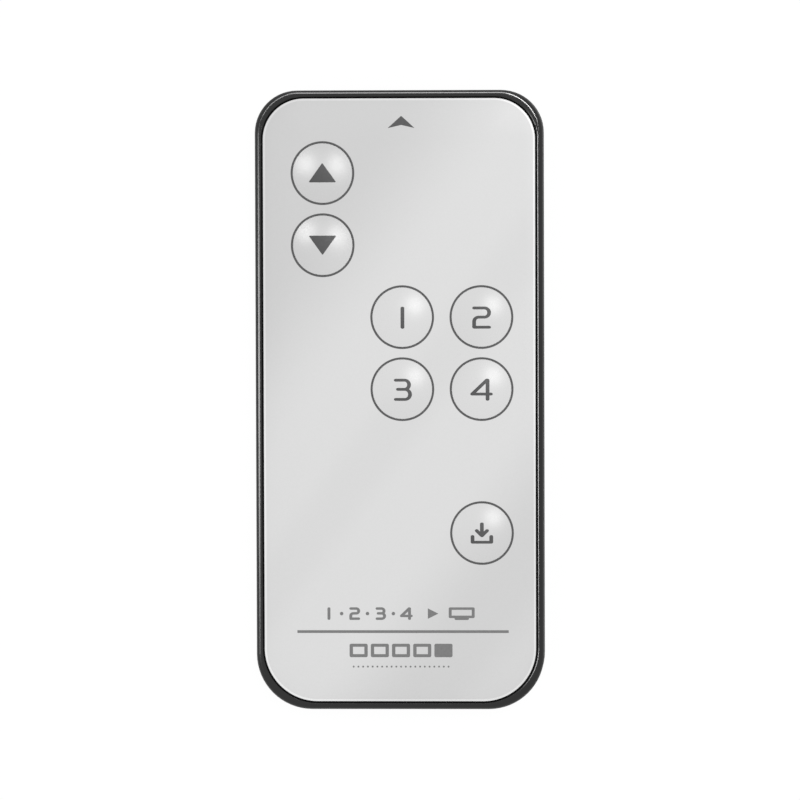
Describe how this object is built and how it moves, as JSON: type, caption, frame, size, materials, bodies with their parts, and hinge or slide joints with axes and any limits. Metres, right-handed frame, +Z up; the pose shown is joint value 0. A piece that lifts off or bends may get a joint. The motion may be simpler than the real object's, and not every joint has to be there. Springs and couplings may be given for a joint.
{
  "type": "card remote control",
  "caption": "Slim card remote control with domed keys on a silver front panel, an infrared emitter in one end and a pull-out coin cell drawer with a side latch in the other.",
  "frame": {"origin": "on the back face, under the middle of the case", "axes": "+X across the remote to the right when its keys are read, +Y along it towards the emitter end, +Z up out of the front panel"},
  "size_m": [0.04, 0.086, 0.0068],
  "materials": {
    "case_plastic": "fine moulded grain, black",
    "drawer_plastic": "fine moulded grain, black",
    "panel_film": "satin silver printed film",
    "key_film": "satin silver embossed film",
    "spacer_film": "milky adhesive film",
    "board_laminate": "green solder mask",
    "pad_copper": "gold-flashed copper",
    "component_black": "matte black resin",
    "component_amber": "dipped amber resin",
    "emitter_lens": "clear epoxy",
    "spring_metal": "tinned spring metal",
    "cell_steel": "nickel-plated steel",
    "cell_core": "satin nickel-plated face"
  },
  "bodies": {
    "remote": {"case_tray": "case_plastic", "front_panel": "panel_film", "spacer_sheet": "spacer_film", "locator_sheet": "spacer_film", "circuit_board": "board_laminate", "contact_pads": "pad_copper", "controller_blob": "component_black", "resonator": "component_amber", "reservoir_capacitor": "component_amber", "driver_transistor": "component_black", "chip_resistors": "component_black", "emitter": "emitter_lens", "emitter_leads": "spring_metal", "negative_contact": "spring_metal", "positive_contact": "spring_metal", "snap_dome_up": "spring_metal", "snap_dome_down": "spring_metal", "snap_dome_1": "spring_metal", "snap_dome_2": "spring_metal", "snap_dome_3": "spring_metal", "snap_dome_4": "spring_metal", "snap_dome_store": "spring_metal"},
    "up_key": {"key_up": "key_film"},
    "down_key": {"key_down": "key_film"},
    "one_key": {"key_1": "key_film"},
    "two_key": {"key_2": "key_film"},
    "three_key": {"key_3": "key_film"},
    "four_key": {"key_4": "key_film"},
    "store_key": {"key_store": "key_film"},
    "drawer": {"battery_drawer": "drawer_plastic", "cell_can": "cell_steel", "cell_gasket": "component_black", "cell_cap": "cell_core"},
    "latch": {"drawer_latch": "drawer_plastic"}
  },
  "joints": [
    {"name": "up_press", "type": "slide", "parent": "remote", "child": "up_key", "axis": [0, 0, -1], "range_m": [0, 0.0003], "stiffness_N_per_m": 5000, "deforming": ["snap_dome_up"]},
    {"name": "down_press", "type": "slide", "parent": "remote", "child": "down_key", "axis": [0, 0, -1], "range_m": [0, 0.0003], "stiffness_N_per_m": 5000, "deforming": ["snap_dome_down"]},
    {"name": "one_press", "type": "slide", "parent": "remote", "child": "one_key", "axis": [0, 0, -1], "range_m": [0, 0.0003], "stiffness_N_per_m": 5000, "deforming": ["snap_dome_1"]},
    {"name": "two_press", "type": "slide", "parent": "remote", "child": "two_key", "axis": [0, 0, -1], "range_m": [0, 0.0003], "stiffness_N_per_m": 5000, "deforming": ["snap_dome_2"]},
    {"name": "three_press", "type": "slide", "parent": "remote", "child": "three_key", "axis": [0, 0, -1], "range_m": [0, 0.0003], "stiffness_N_per_m": 5000, "deforming": ["snap_dome_3"]},
    {"name": "four_press", "type": "slide", "parent": "remote", "child": "four_key", "axis": [0, 0, -1], "range_m": [0, 0.0003], "stiffness_N_per_m": 5000, "deforming": ["snap_dome_4"]},
    {"name": "store_press", "type": "slide", "parent": "remote", "child": "store_key", "axis": [0, 0, -1], "range_m": [0, 0.0003], "stiffness_N_per_m": 5000, "deforming": ["snap_dome_store"]},
    {"name": "drawer_slide", "type": "slide", "parent": "remote", "child": "drawer", "axis": [0, -1, 0], "range_m": [0, 0.024]},
    {"name": "latch_squeeze", "type": "hinge", "parent": "drawer", "child": "latch", "pos_m": [0.0125, -0.0199, 0.0026], "axis": [0, 0, -1], "range_deg": [0, 1.5], "stiffness_Nm_per_rad": 1}
  ]
}
